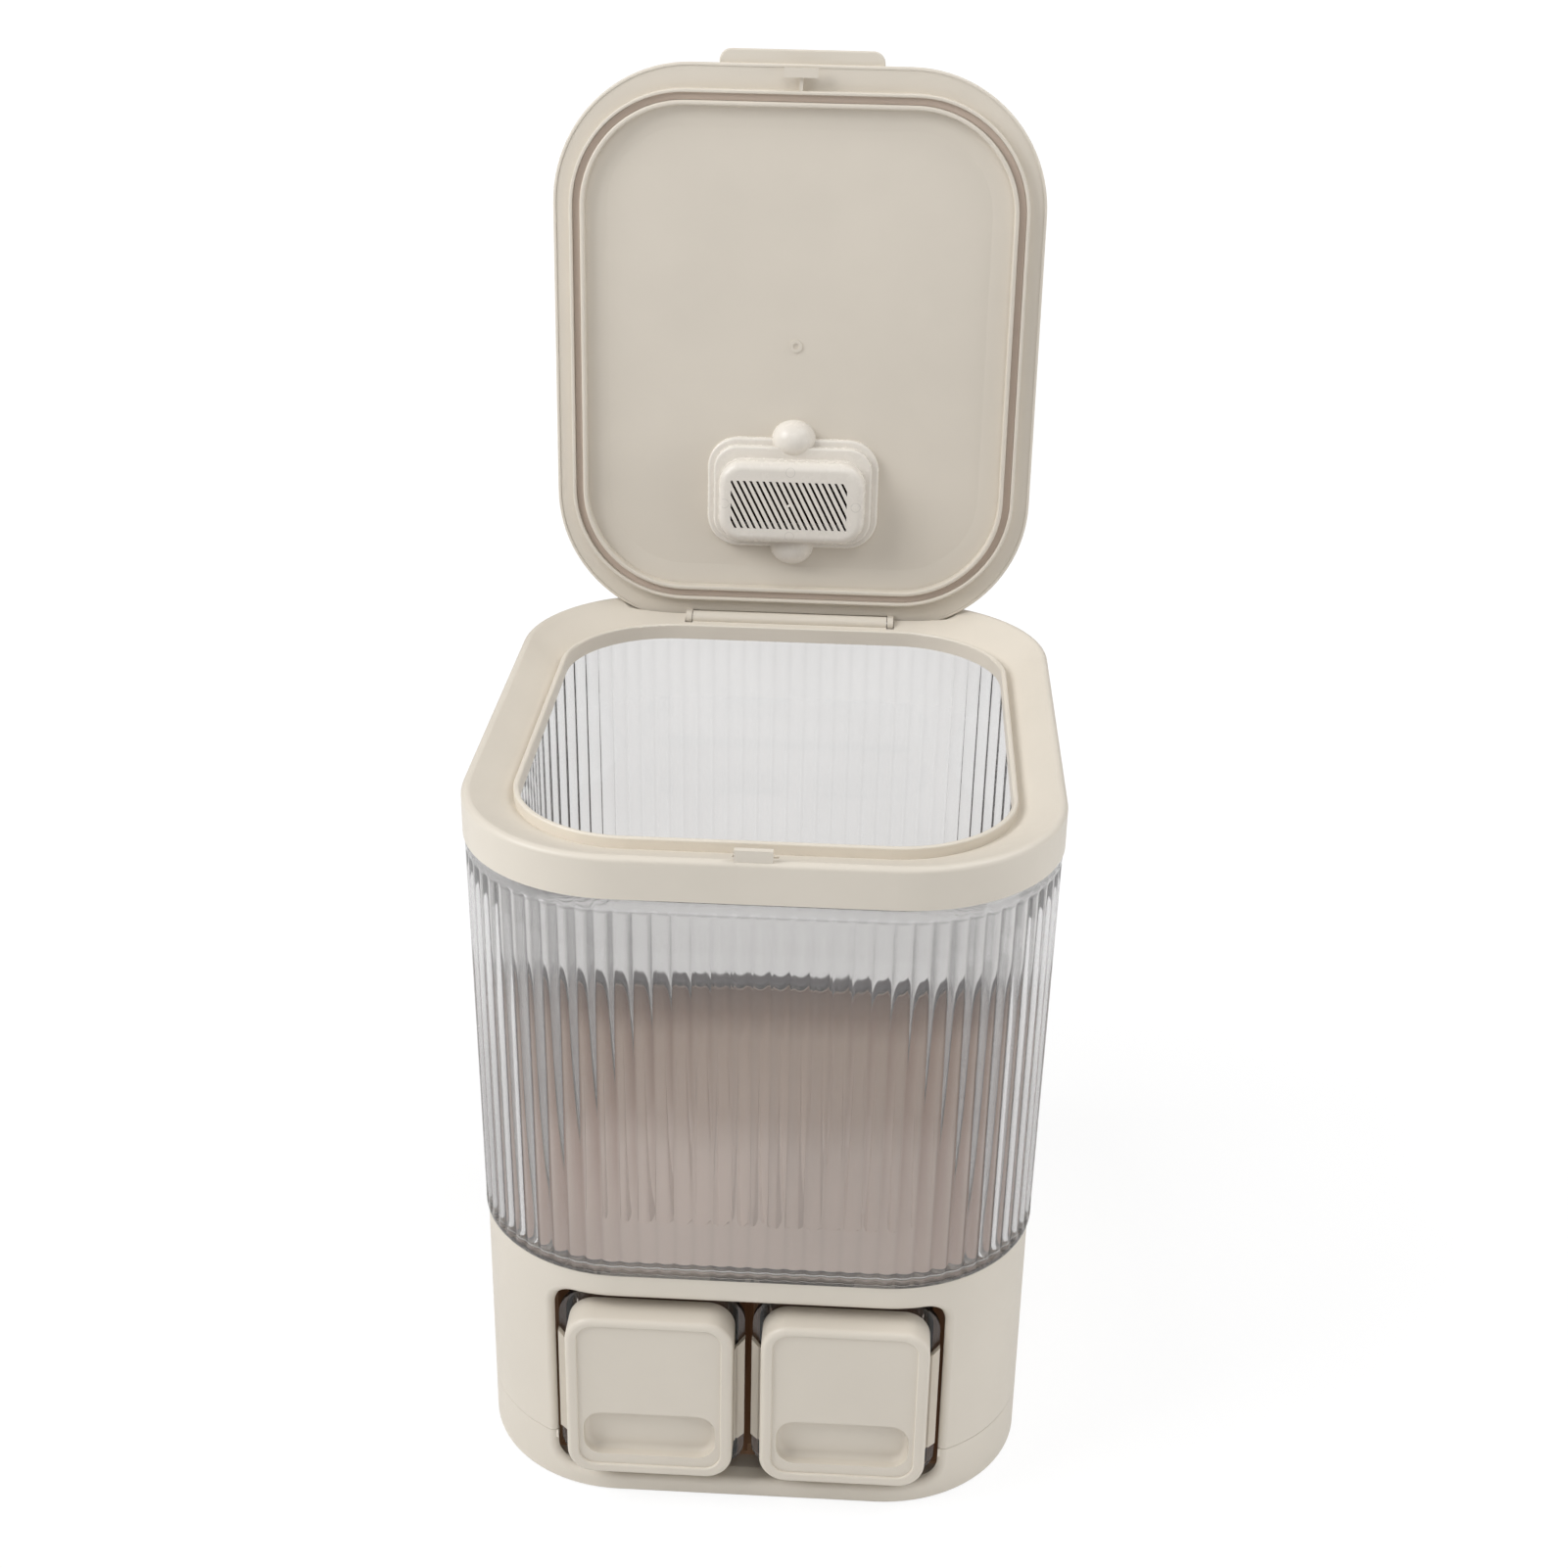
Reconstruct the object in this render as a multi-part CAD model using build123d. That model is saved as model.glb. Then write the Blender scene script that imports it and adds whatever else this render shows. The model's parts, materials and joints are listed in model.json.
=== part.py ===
from build123d import *
import math
import os

# Rice dispenser with two measuring drawers.
# Millimetres, +Z up, front towards -Y, floor at Z = 0, middle of the width at X = 0.
# The lid stands open and both drawers are pushed in.

# ---- overall sizes ----
RING_W = 250.0
RING_D = 296.2
RING_R = 69.0
BODY_BOTTOM_Z = 118.9
BODY_TOP_Z = 302.0

# ---- clear bin body ----
BODY_UNDER_RING = 0.7
BODY_TAPER = 2.05
BODY_WALL = 2.6
BODY_FLANGE_IN = 5.0
BODY_FLANGE_T = 2.6
FLUTE_PITCH = 8.0
FLUTE_DEPTH = 0.5
PLAIN_BAND_BOTTOM = 6.0
PLAIN_BAND_TOP = 5.0
COLLAR_H = 5.2
COLLAR_T = 2.2
FIT_GAP = 0.3

# ---- top ring ----
RING_H = 18.0
RING_SKIRT_T = 2.4
RING_EDGE_R = 2.2
SHOULDER_T = 3.2
SHOULDER_R = 2.0
WEB_T = 2.4
DISH_SIDE = 22.0
DISH_FRONT = 29.5
DISH_REAR = 32.1
DISH_DROP = 9.5
OPENING_R = 50.0
RIM_T = 2.4
RIM_H = 5.0
RIM_EDGE_R = 0.9

# ---- hinge ----
HINGE_FROM_REAR = 18.2
HINGE_BELOW_TOP = 5.8
BARREL_R = 3.5
BARREL_FROM_SIDE = 76.8
EAR_T = 3.0
EAR_GAP = 0.4
PIN_R = 1.5
PIN_RUN = 0.05
BARREL_GROOVE_UP = 2.9
BARREL_GROOVE_T = 1.0
LID_SLOT_AHEAD = 2.1
LID_SLOT_BEHIND = 10.0
LID_SLOT_GAP = 0.9
EAR_SLOT_GAP = 0.7
POCKET_WALL = 2.2
OPEN_ANGLE = 92.9

# ---- lid ----
LID_SIDE_GAP = 9.6
LID_FRONT_GAP = 13.6
LID_REAR_GAP = 14.95
LID_R = 65.0
LID_SKIN_T = 2.0
LID_SKIRT_T = 1.4
LID_SKIRT_DROP = 0.3
LID_SKIRT_R = 0.8
LID_EDGE_R = 3.4
GRIP_W = 76.0
GRIP_OUT = 6.2
GRIP_T = 2.0
GRIP_R = 5.5
GRIP_EDGE_R = 0.8
FLANGE_T = 2.4
FLANGE_GAP = 0.05
CHANNEL_W = 3.4
RIDGE_T = 1.6
RIDGE_H = 4.8
RIDGE_EDGE_R = 0.6
INNER_RIDGE_T = 2.2
INNER_RIDGE_EDGE_R = 0.9
GASKET_W = 3.1
GASKET_T = 2.6
GASKET_CLEAR = 0.1
SUNK_MARGIN = 1.0
SUNK_DEPTH = 1.0
SUNK_SLOPE = 9.0
GATE_R = 3.0
GATE_BORE_R = 1.4
GATE_H = 0.5
GATE_AHEAD = 4.7

# ---- latch ----
HOOK_W = 15.6
HOOK_T = 1.8
HOOK_INSET = 1.15
HOOK_DEPTH = 4.2
HOOK_DROP = 6.0
HOOK_STEM_W = 1.6
HOOK_STEM_L = 7.0
HOOK_STEM_H = 3.8
HOOK_LIP = 1.6
CATCH_W = 15.2
CATCH_T = 2.6
CATCH_INSET = 1.1
CATCH_RISE = 4.8
LATCH_POCKET_SIDE = 1.4
LATCH_POCKET_AHEAD = 2.6
LATCH_POCKET_BEHIND = 0.8
LATCH_POCKET_DROP = 11.5

# ---- desiccant box on the lid ----
BOX_FROM_HINGE = 64.4
TRAY_W = 83.2
TRAY_H = 54.0
TRAY_R = 15.0
TRAY_LIP_T = 3.2
TRAY_BODY_INSET = 3.2
TRAY_BODY_T = 7.4
TRAY_WALL = 1.8
TRAY_EDGE_R = 1.2
COVER_W = 71.0
COVER_H = 40.0
COVER_R = 12.0
COVER_SHIFT = 1.6
COVER_DEPTH = 10.0
COVER_WALL = 1.6
COVER_EDGE_R = 4.2
COVER_SPIGOT_H = 2.4
COVER_SPIGOT_STEP = 0.2
COVER_SPIGOT_GAP = 0.1
COVER_LUG_GAP = 0.3
SLOT_W = 1.1
SLOT_PITCH = 3.15
SLOT_FIELD_SIDE = 7.4
SLOT_FIELD_END = 8.3
SLOT_FIELD_LEFT = 1.2
SLOT_FIELD_DOWN = 0.8
SLOT_TILT = 27.0
LUG_W = 21.4
LUG_H = 18.6
LUG_OUT = 10.4
LUG_INSET = 0.4

# ---- base ----
BASE_UNDER_BODY = 1.25
BASE_R = 63.5
BASE_WALL = 2.6
BASE_BOTTOM_Z = 0.6
BASE_FOOT_R = 1.4
BASE_TOP_R = 0.8
SEAM_Z = 26.2
SEAM_GAP = 0.25
TRAY_FLOOR_T = 2.6
SPIGOT_H = 4.0
SPIGOT_T = 1.6
SPIGOT_ROOT = 1.0
SPIGOT_GAP = 0.2
LEDGE_IN = 7.0
LEDGE_T = 2.6
MOUTH_SIDE = 36.4
MOUTH_Z0 = 9.4
MOUTH_BELOW_BODY = 12.4
MOUTH_R = 10.0
MOUTH_EDGE_R = 3.0
MOUTH_LINER = 9.0
MOUTH_LINER_T = 2.0
BOSS_FROM_WALL = 10.85
BOSS_R = 4.2
SCREW_R = 1.5
SCREW_L = 16.0
SCREW_HEAD_R = 3.2
SCREW_HEAD_T = 2.0
FOOT_R = 9.0
FOOT_T = 2.0
FOOT_SIDE = 39.0
FOOT_END = 40.1

# ---- hopper floor ----
FLOOR_T = 2.2
SEAL_T = 1.4
SEAL_W = 3.4
SEAL_GAP = 0.4
FLOOR_GAP = 0.2
WELL_SIDE = 60.5
WELL_BEHIND_FRONT = 40.6
WELL_D = 157.0
WELL_R = 10.0
DIVIDER_T = 3.0
OUTLET_SIDE = 7.5
OUTLET_SHIFT = 2.0
OUTLET_D = 14.0
OUTLET_BEHIND_WELL = 1.0
OUTLET_DROP = 11.1
OUTLET_R = 4.0

# ---- drawers ----
TRAVEL = 100.0
PLATE_SIDE_GAP = 6.2
PLATE_MID_GAP = 12.0
PLATE_LOW_GAP = 7.6
PLATE_TOP_GAP = 5.8
PLATE_R = 12.0
PLATE_T = 13.0
PLATE_OUT = 8.0
PLATE_EDGE_R = 2.4
PANEL_BORDER = 5.2
PANEL_TOP_BORDER = 3.6
PANEL_DEPTH = 1.2
PANEL_R = 7.5
GRASP_SIDE = 7.3
GRASP_H = 23.0
GRASP_RISE = 10.2
GRASP_DEPTH = 6.5
GRASP_R = 8.5
GRASP_FLOOR_R = 2.6
RECESS_EDGE_R = 0.8
WING_T = 3.0
WING_OUT = 4.5
WING_LOW_GAP = 10.6
WING_TOP_GAP = 22.6
WING_TIP = 6.2
WING_GROOVE_W = 0.8
WING_GROOVE_IN = 1.0
CUP_FLANGE_OUT = 4.3
CUP_FLANGE_LOW_GAP = 2.2
CUP_FLANGE_TOP_GAP = 2.3
CUP_FLANGE_R = 13.0
CUP_FLANGE_T = 2.6
CUP_STEP = 3.0
CUP_TOP_STEP = 2.7
CUP_KEPT_IN = 18.1
CUP_WALL = 2.0
CUP_R = 8.0
SHUTTER_T = 2.0
SHUTTER_OVERLAP = 2.0
SHUTTER_HOOK_H = 14.0
SHUTTER_HOOK_T = 2.0
SHUTTER_GAP = 0.3

# ---- drawer chassis ----
RUN_GAP = 0.3
RUNNER_W = 3.0
RUNNER_INSET = 13.5
RUNNER_BEYOND = 4.0
GUIDE_GAP = 0.8
GUIDE_T = 2.0
GUIDE_BEYOND = 2.0
GUIDE_BELOW_CUP_TOP = 2.0
CENTRE_WALL_T = 2.0
CHASSIS_PLATE_T = 2.0
CENTRE_WALL_BEHIND_FRONT = 60.0
CHASSIS_BEHIND_TRAY = 24.1

# How far a cutter runs past the face it starts from, and how near an edge must be to the place it is sought at.
OVERCUT = 5.0
EDGE_SEARCH = 0.2


def rounded(width, depth, radius):
    return RectangleRounded(width, depth, radius)


def slab(width, depth, radius, z0, z1, y=0.0):
    return Pos(0, y, z0) * extrude(rounded(width, depth, radius), amount=z1 - z0)


def frustum(low, z0, high, z1, y=0.0):
    lower = Pos(0, y, z0) * rounded(*low)
    upper = Pos(0, y, z1) * rounded(*high)
    return loft([lower, upper], ruled=True)


def block(x0, x1, y0, y1, z0, z1):
    centre = Pos((x0 + x1) / 2, (y0 + y1) / 2, (z0 + z1) / 2)
    return centre * Box(x1 - x0, y1 - y0, z1 - z0)


def front_slab(width, height, radius, x, z0, y0, y1):
    outline = Pos(x, y1, z0 + height / 2) * Rot(X=90) * rounded(width, height, radius)
    return extrude(outline, amount=y1 - y0)


def rod(radius, centre, length):
    return Pos(*centre) * Rot(Y=90) * Cylinder(radius, length)


def inset(size, amount):
    return (size[0] - 2 * amount, size[1] - 2 * amount, size[2] - amount)


def mirror_x(shape):
    return mirror(shape, about=Plane.YZ)


RING = (RING_W, RING_D, RING_R)
BODY_TOP = inset(RING, BODY_UNDER_RING)
BODY_BOTTOM = inset(BODY_TOP, BODY_TAPER)
BASE_W = BODY_BOTTOM[0] - 2 * BASE_UNDER_BODY
BASE_D = BODY_BOTTOM[1] - 2 * BASE_UNDER_BODY
BASE = (BASE_W, BASE_D, BASE_R)
BASE_FRONT = -BASE_D / 2

RING_TOP_Z = BODY_TOP_Z + RING_H
OPENING = (RING_W - 2 * DISH_SIDE, RING_D - DISH_FRONT - DISH_REAR, OPENING_R)
OPENING_Y = (DISH_FRONT - DISH_REAR) / 2
DISH_Z = RING_TOP_Z - DISH_DROP
RIM_TOP_Z = DISH_Z + RIM_H

HINGE_Y = RING_D / 2 - HINGE_FROM_REAR
HINGE_Z = RING_TOP_Z - HINGE_BELOW_TOP
BARREL_L = RING_W - 2 * BARREL_FROM_SIDE
EAR_X0 = BARREL_L / 2 + EAR_GAP
EAR_X1 = EAR_X0 + EAR_T

LID = (RING_W - 2 * LID_SIDE_GAP, RING_D - LID_FRONT_GAP - LID_REAR_GAP, LID_R)
LID_Y = (LID_FRONT_GAP - LID_REAR_GAP) / 2
LID_FRONT = LID_FRONT_GAP - RING_D / 2
FLANGE_Z = RIM_TOP_Z + GASKET_CLEAR + GASKET_T
SKIN_Z = FLANGE_Z + FLANGE_T
LID_TOP_Z = SKIN_Z + LID_SKIN_T
LID_SKIRT_Z = FLANGE_Z - LID_SKIRT_DROP
HINGE_SLOT_DROP = max(HINGE_FROM_REAR - LID_REAR_GAP + LID_SLOT_GAP, BARREL_R + EAR_SLOT_GAP)
HINGE_SLOT_Z = HINGE_Z - HINGE_SLOT_DROP
HOOK_FRONT = LID_FRONT + HOOK_INSET
HOOK_BACK = HOOK_FRONT + HOOK_DEPTH
LATCH_POCKET_Z = RING_TOP_Z - LATCH_POCKET_DROP
COVER = (COVER_W, COVER_H, COVER_R)
BOX_Y = HINGE_Y - BOX_FROM_HINGE
COVER_Y = BOX_Y + COVER_SHIFT

LEDGE_Z = BODY_BOTTOM_Z - SEAL_T - FLOOR_T
FLOOR_TOP_Z = LEDGE_Z + FLOOR_T
TRAY_FLOOR_Z = BASE_BOTTOM_Z + TRAY_FLOOR_T
MOUTH_W = BASE_W - 2 * MOUTH_SIDE
MOUTH_Z1 = BODY_BOTTOM_Z - MOUTH_BELOW_BODY

WELL_HALF_W = (BASE_W / 2 - WELL_SIDE - DIVIDER_T / 2) / 2
WELL_X = DIVIDER_T / 2 + WELL_HALF_W
WELL_FRONT = BASE_FRONT + WELL_BEHIND_FRONT
OUTLET_X = WELL_X + OUTLET_SHIFT
OUTLET_W = 2 * (WELL_HALF_W - OUTLET_SIDE)
OUTLET_Y = WELL_FRONT + OUTLET_BEHIND_WELL + OUTLET_D / 2
OUTLET_Z = LEDGE_Z - OUTLET_DROP

PLATE_W = MOUTH_W / 2 - PLATE_SIDE_GAP - PLATE_MID_GAP / 2
DRAWER_X = (PLATE_MID_GAP + PLATE_W) / 2
PLATE_Z0 = MOUTH_Z0 + PLATE_LOW_GAP
PLATE_Z1 = MOUTH_Z1 - PLATE_TOP_GAP
PLATE_FRONT = BASE_FRONT - PLATE_OUT
PLATE_BACK = PLATE_FRONT + PLATE_T
WING_BACK = PLATE_BACK + WING_T
CUP_FRONT = WING_BACK
CUP_BODY_FRONT = CUP_FRONT + CUP_FLANGE_T
CUP_FLANGE_W = PLATE_W + 2 * CUP_FLANGE_OUT
CUP_FLANGE_Z0 = MOUTH_Z0 + CUP_FLANGE_LOW_GAP
CUP_FLANGE_Z1 = MOUTH_Z1 - CUP_FLANGE_TOP_GAP
CUP_W = CUP_FLANGE_W - 2 * CUP_STEP
CUP_TOP_Z = CUP_FLANGE_Z1 - CUP_TOP_STEP
CUP_REAR_Y = BASE_FRONT + TRAVEL + CUP_KEPT_IN
SHUTTER_REAR_Y = OUTLET_Y + OUTLET_D / 2 + TRAVEL + SHUTTER_OVERLAP


def body_size_at(z):
    share = (z - BODY_BOTTOM_Z) / (BODY_TOP_Z - BODY_BOTTOM_Z)
    return tuple(a + (b - a) * share for a, b in zip(BODY_BOTTOM, BODY_TOP))


def fluted_face(z):
    """Zigzag outline: every second point is pushed in by the depth of a flute."""
    outline = rounded(*body_size_at(z)).wire()
    count = 2 * round(rounded(*BODY_TOP).wire().length / FLUTE_PITCH)
    points = []
    for i in range(count):
        place = outline @ (i / count)
        along = outline % (i / count)
        inward = Vector(-along.Y, along.X)
        if inward.dot(Vector(place.X, place.Y)) > 0:
            inward = -inward
        cut = FLUTE_DEPTH if i % 2 else 0.0
        points.append(Vector(place.X, place.Y, z) + inward * cut)
    return make_face(Polyline(*points, close=True))


def bin_body():
    flute_z0 = BODY_BOTTOM_Z + PLAIN_BAND_BOTTOM
    flute_z1 = BODY_TOP_Z - PLAIN_BAND_TOP
    low_band = frustum(BODY_BOTTOM, BODY_BOTTOM_Z, body_size_at(flute_z0), flute_z0)
    fluted = loft([fluted_face(flute_z0), fluted_face(flute_z1)], ruled=True)
    high_band = frustum(body_size_at(flute_z1), flute_z1, BODY_TOP, BODY_TOP_Z)
    collar_size = inset(RING, RING_SKIRT_T + FIT_GAP)
    collar = slab(*collar_size, BODY_TOP_Z, BODY_TOP_Z + COLLAR_H)
    inner_z0 = BODY_BOTTOM_Z + BODY_FLANGE_T
    inner = frustum(inset(body_size_at(inner_z0), BODY_WALL), inner_z0,
                    inset(BODY_TOP, BODY_WALL), BODY_TOP_Z)
    mouth = slab(*inset(collar_size, COLLAR_T), BODY_TOP_Z, BODY_TOP_Z + COLLAR_H)
    foot = slab(*inset(BODY_BOTTOM, BODY_WALL + BODY_FLANGE_IN), BODY_BOTTOM_Z, inner_z0)
    outside = low_band + fluted + high_band + collar
    return outside - inner - mouth - foot


def dish(z_shift):
    """Sloping space over the ring's web, from the foot of the rim up to the shoulder."""
    low = inset(OPENING, -RIM_T)
    high = inset(RING, SHOULDER_T)
    lower = Pos(0, OPENING_Y, DISH_Z - z_shift) * rounded(*low)
    upper = Pos(0, 0, RING_TOP_Z - z_shift) * rounded(*high)
    return loft([lower, upper], ruled=True)


def hinge_slots(grow):
    """Space for the rear edge of the open lid behind the barrel, and for its two ears beside the barrel."""
    rear = HINGE_Y + LID_SLOT_BEHIND + grow
    width, height, radius = inset(LID, -LID_SLOT_GAP - grow)
    low = HINGE_SLOT_Z - grow
    space = front_slab(width, height, radius, 0, low, HINGE_Y + LID_SLOT_AHEAD - grow, rear)
    ear_front = HINGE_Y - BARREL_R - EAR_SLOT_GAP - grow
    for side in (-1, 1):
        x0, x1 = sorted((side * (BARREL_L / 2 - grow), side * (EAR_X1 + EAR_GAP + grow)))
        space += block(x0, x1, ear_front, rear, low, RING_TOP_Z)
    return space


def latch_block(grow, z0, z1):
    half = HOOK_W / 2 + LATCH_POCKET_SIDE + grow
    front = HOOK_FRONT - LATCH_POCKET_AHEAD
    rear = HOOK_BACK + LATCH_POCKET_BEHIND
    return block(-half, half, front - grow, rear + grow, z0, z1)


def top_ring():
    skirt_inner = inset(RING, RING_SKIRT_T)
    under = slab(*skirt_inner, BODY_TOP_Z, RING_TOP_Z - WEB_T) - dish(WEB_T)
    under -= hinge_slots(POCKET_WALL)
    under -= latch_block(POCKET_WALL, LATCH_POCKET_Z - POCKET_WALL, RING_TOP_Z)
    ring = slab(*RING, BODY_TOP_Z, RING_TOP_Z)
    ring = fillet(ring.faces().sort_by(Axis.Z)[-1].edges(), RING_EDGE_R) - dish(0)
    shoulder = ring.faces().filter_by(Axis.Z).sort_by(Axis.Z)[-1]
    ring = fillet(shoulder.inner_wires()[0].edges(), SHOULDER_R)
    ring -= under
    ring -= slab(*OPENING, BODY_TOP_Z, RIM_TOP_Z, OPENING_Y)
    ring += rim()
    ring -= hinge_slots(0)
    ring -= latch_block(0, LATCH_POCKET_Z, RING_TOP_Z)
    ring += catch() + rod(BARREL_R, (0, HINGE_Y, HINGE_Z), BARREL_L)
    return ring - rod(PIN_R, (0, HINGE_Y, HINGE_Z), BARREL_L)


def rim():
    wall = slab(*inset(OPENING, -RIM_T), DISH_Z - WEB_T, RIM_TOP_Z, OPENING_Y)
    wall -= slab(*OPENING, DISH_Z - WEB_T, RIM_TOP_Z, OPENING_Y)
    return fillet(wall.faces().sort_by(Axis.Z)[-1].edges(), RIM_EDGE_R)


def catch():
    front = CATCH_INSET - RING_D / 2
    return block(-CATCH_W / 2, CATCH_W / 2, front, front + CATCH_T,
                 RING_TOP_Z - WEB_T - RING_EDGE_R, RING_TOP_Z + CATCH_RISE)


def hinge_pin():
    return rod(PIN_R, (0, HINGE_Y, HINGE_Z), 2 * EAR_X1)


def closed_lid_shell():
    shell = slab(*LID, LID_SKIRT_Z, LID_TOP_Z, LID_Y)
    shell = fillet(shell.faces().sort_by(Axis.Z)[-1].edges(), LID_EDGE_R)
    shell = fillet(shell.faces().sort_by(Axis.Z)[0].edges(), LID_SKIRT_R)
    shell -= slab(*inset(LID, LID_SKIRT_T), LID_SKIRT_Z, SKIN_Z, LID_Y)
    shell -= block(-EAR_X1 - EAR_GAP, EAR_X1 + EAR_GAP, HINGE_Y - BARREL_R, HINGE_Y + 2 * BARREL_R,
                   LID_SKIRT_Z, SKIN_Z)
    grip = slab(GRIP_W, 2 * GRIP_OUT, GRIP_R, SKIN_Z, SKIN_Z + GRIP_T, LID_FRONT)
    grip = fillet(grip.faces().filter_by(Axis.Z).edges(), GRIP_EDGE_R)
    return shell + (grip - slab(*inset(LID, LID_EDGE_R), SKIN_Z, LID_TOP_Z, LID_Y))


def rim_loop(offset, z0, z1):
    """Solid prism whose outline runs a set distance outside the middle line of the rim."""
    return slab(*inset(OPENING, -(RIM_T / 2 + offset)), z0, z1, OPENING_Y)


def closed_inner_panel():
    panel = slab(*inset(LID, LID_SKIRT_T + FLANGE_GAP), FLANGE_Z, SKIN_Z, LID_Y)
    half = CHANNEL_W / 2
    ridge_z = FLANGE_Z - RIDGE_H
    outer_ridge = rim_loop(half + RIDGE_T, ridge_z, FLANGE_Z) - rim_loop(half, ridge_z, FLANGE_Z)
    inner_ridge = rim_loop(-half, ridge_z, FLANGE_Z) - rim_loop(-half - INNER_RIDGE_T, ridge_z, FLANGE_Z)
    for ridge, radius in ((outer_ridge, RIDGE_EDGE_R), (inner_ridge, INNER_RIDGE_EDGE_R)):
        panel += fillet(ridge.faces().sort_by(Axis.Z)[0].edges(), radius)
    sunk_in = RIM_T / 2 - half - INNER_RIDGE_T - SUNK_MARGIN
    sunk = inset(OPENING, -sunk_in)
    panel -= frustum(sunk, FLANGE_Z, inset(sunk, SUNK_SLOPE), FLANGE_Z + SUNK_DEPTH, OPENING_Y)
    gate = Cylinder(GATE_R, GATE_H) - Cylinder(GATE_BORE_R, GATE_H)
    panel += Pos(0, OPENING_Y - GATE_AHEAD, FLANGE_Z + SUNK_DEPTH - GATE_H / 2) * gate
    panel -= block(-EAR_X0, EAR_X0, HINGE_Y - BARREL_GROOVE_UP, HINGE_Y + 2 * BARREL_R,
                   FLANGE_Z, FLANGE_Z + BARREL_GROOVE_T)
    return panel + hook() + ear(-1) + ear(1)


def hook():
    low = FLANGE_Z - HOOK_DROP
    half = HOOK_STEM_W / 2
    rib = block(-half, half, HOOK_BACK, HOOK_BACK + HOOK_STEM_L, FLANGE_Z - HOOK_STEM_H, FLANGE_Z)
    stem = block(-half, half, HOOK_FRONT + HOOK_LIP, HOOK_BACK, low, FLANGE_Z)
    bar = block(-HOOK_W / 2, HOOK_W / 2, HOOK_FRONT, HOOK_BACK, low, low + HOOK_T)
    return rib + stem + bar


def ear(side):
    middle = side * (EAR_X0 + EAR_X1) / 2
    arm = Pos(middle, HINGE_Y, (HINGE_Z + FLANGE_Z) / 2) * Box(EAR_T, 2 * BARREL_R, FLANGE_Z - HINGE_Z)
    eye = rod(BARREL_R, (middle, HINGE_Y, HINGE_Z), EAR_T)
    return arm + eye - rod(PIN_R + PIN_RUN, (middle, HINGE_Y, HINGE_Z), EAR_T)


def closed_gasket():
    half = GASKET_W / 2
    return rim_loop(half, FLANGE_Z - GASKET_T, FLANGE_Z) - rim_loop(-half, FLANGE_Z - GASKET_T, FLANGE_Z)


def box_slab(size, deep, shallow, y=BOX_Y):
    """Prism of the desiccant box, measured down from the sunk panel of the closed lid."""
    seat = FLANGE_Z + SUNK_DEPTH
    return slab(*size, seat - deep, seat - shallow, y)


def closed_desiccant_tray():
    lip = (TRAY_W, TRAY_H, TRAY_R)
    body = inset(lip, TRAY_BODY_INSET)
    depth = TRAY_BODY_T
    tray = box_slab(lip, TRAY_LIP_T, 0)
    tray = fillet(tray.faces().sort_by(Axis.Z)[0].edges(), TRAY_EDGE_R)
    upper = box_slab(body, depth, TRAY_LIP_T)
    tray += fillet(upper.faces().sort_by(Axis.Z)[0].edges(), TRAY_EDGE_R)
    seat = FLANGE_Z + SUNK_DEPTH
    for side in (-1, 1):
        tray += Pos(0, BOX_Y + side * (TRAY_H / 2 - LUG_INSET), seat) * lug_dome()
    opening = inset(COVER, COVER_WALL + COVER_SPIGOT_STEP - COVER_SPIGOT_GAP)
    tray -= box_slab(inset(COVER, -COVER_LUG_GAP), depth + LUG_OUT, depth, COVER_Y)
    return tray - box_slab(opening, depth, TRAY_WALL, COVER_Y)


def lug_dome():
    ball = scale(Sphere(LUG_W / 2), by=(1, LUG_H / LUG_W, 2 * LUG_OUT / LUG_W))
    return ball & Pos(0, 0, -LUG_W / 2) * Box(2 * LUG_W, 2 * LUG_W, LUG_W)


def closed_desiccant_cover():
    base = TRAY_BODY_T
    front = base + COVER_DEPTH
    spigot_rear = base - COVER_SPIGOT_H
    cover = box_slab(COVER, front, base, COVER_Y)
    cover = fillet(cover.faces().sort_by(Axis.Z)[0].edges(), COVER_EDGE_R)
    cover += box_slab(inset(COVER, COVER_WALL + COVER_SPIGOT_STEP), base, spigot_rear, COVER_Y)
    hollow = inset(COVER, 2 * COVER_WALL + COVER_SPIGOT_STEP)
    cover -= box_slab(hollow, front - COVER_WALL, spigot_rear, COVER_Y)
    return cover - slots(front)


def slots(front):
    """Slanted slots cut through the front of the cover, trimmed to a rectangular field."""
    middle = (-SLOT_FIELD_LEFT, COVER_Y + SLOT_FIELD_DOWN, FLANGE_Z + SUNK_DEPTH - front)
    field_w = COVER_W - 2 * SLOT_FIELD_SIDE
    field_h = COVER_H - 2 * SLOT_FIELD_END
    field = Pos(*middle) * Box(field_w, field_h, 3 * COVER_WALL)
    reach = field_w + field_h * math.tan(math.radians(SLOT_TILT))
    half = int(reach / 2 / SLOT_PITCH)
    length = field_h / math.cos(math.radians(SLOT_TILT)) + 4 * SLOT_W
    cutter = Box(SLOT_W, length, 3 * COVER_WALL)
    rib = Pos(*middle) * Rot(Z=90 - SLOT_TILT) * Box(SLOT_W, 4 * SLOT_W, 3 * COVER_WALL)
    cuts = []
    for i in range(-half, half + 1):
        bar = Pos(*middle) * Pos(i * SLOT_PITCH, 0, 0) * Rot(Z=-SLOT_TILT) * cutter
        cuts.append((bar & field) - rib)
    return cuts


def opened(shape):
    hinge = Pos(0, HINGE_Y, HINGE_Z)
    return hinge * Rot(X=-OPEN_ANGLE) * hinge.inverse() * shape


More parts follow.
